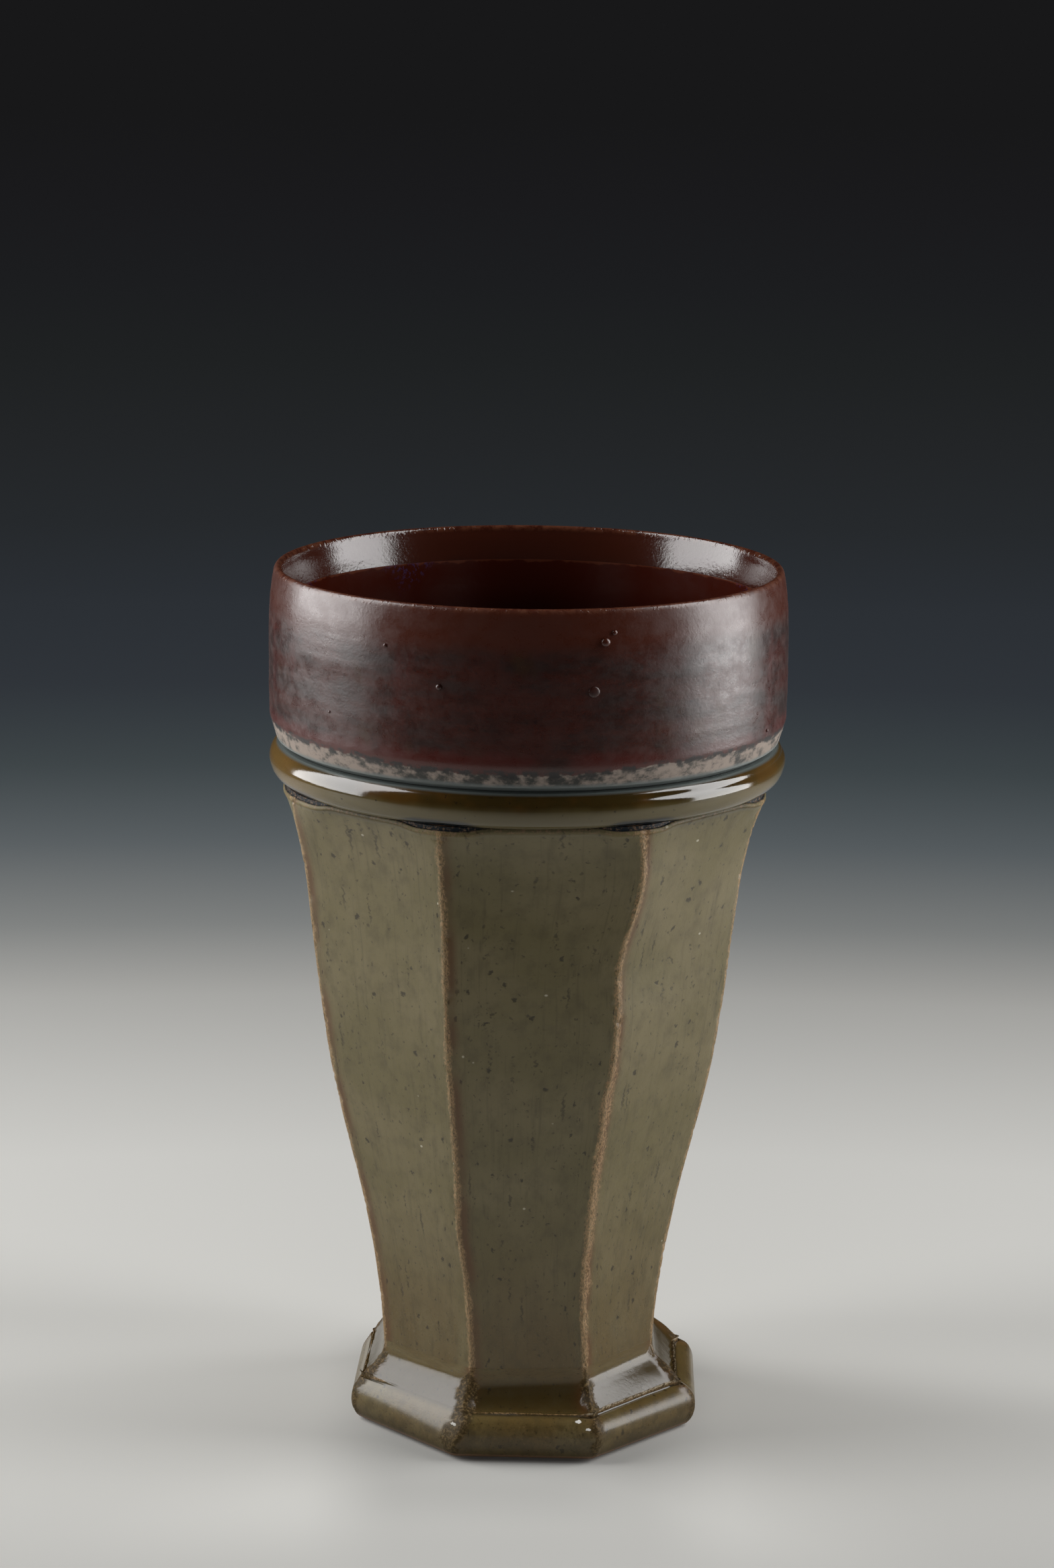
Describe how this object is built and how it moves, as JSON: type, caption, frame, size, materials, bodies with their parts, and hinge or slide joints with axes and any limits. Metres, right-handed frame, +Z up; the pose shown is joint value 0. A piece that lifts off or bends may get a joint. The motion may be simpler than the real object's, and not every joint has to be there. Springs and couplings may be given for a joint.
{
  "type": "stoneware cup",
  "caption": "Tall stoneware tumbler with a round iron-glazed collar, a turned bead, a flared eight-sided wall in ash glaze and a rolled octagonal foot.",
  "frame": {"origin": "on the table, under the axis that the cup was thrown on, which is the centre of its round collar", "axes": "+Z up through the open mouth, -Y towards the viewer of the picture, +X to the viewer's right"},
  "size_m": [0.0848, 0.0849, 0.144],
  "materials": {
    "stoneware": "bare fired clay, matte",
    "ash_glaze": "semi-gloss grey-green ash glaze, streaked, tan on the ridges",
    "amber_glaze": "glossy amber ash glaze where it lies thick",
    "iron_glaze": "satin iron-red glaze",
    "liner_glaze": "glossy dark iron glaze"
  },
  "bodies": {
    "root": {"base": "stoneware", "faceted_wall": "stoneware", "bead_ring": "stoneware", "collar": "stoneware", "foot_glaze": "ash_glaze", "facet_glaze": "ash_glaze", "bead_glaze": "amber_glaze", "collar_glaze": "iron_glaze", "liner_glaze": "liner_glaze"}
  },
  "joints": []
}
